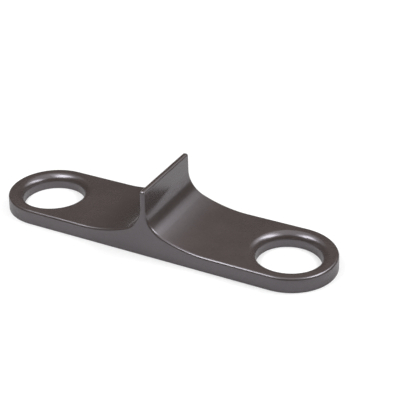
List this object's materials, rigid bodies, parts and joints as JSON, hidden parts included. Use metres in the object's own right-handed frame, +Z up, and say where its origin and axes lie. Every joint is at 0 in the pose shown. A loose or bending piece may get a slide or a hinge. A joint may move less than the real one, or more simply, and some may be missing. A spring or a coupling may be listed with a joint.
{
  "type": "sectional sofa connector",
  "caption": "Flat moulded floor bar with a round leg ring at each end and a thin upright fin across the middle; keeps neighbouring sofa sections from sliding apart.",
  "frame": {"origin": "on the floor at the middle of the bar, under the fin", "axes": "+X along the bar from one leg ring to the other, +Y across the bar along the fin, +Z up from the floor"},
  "size_m": [0.2902, 0.0762, 0.0554],
  "materials": {
    "body": "satin dark bronze-grey, moulded in colour"
  },
  "bodies": {
    "root": {"connector_body": "body"}
  },
  "joints": []
}
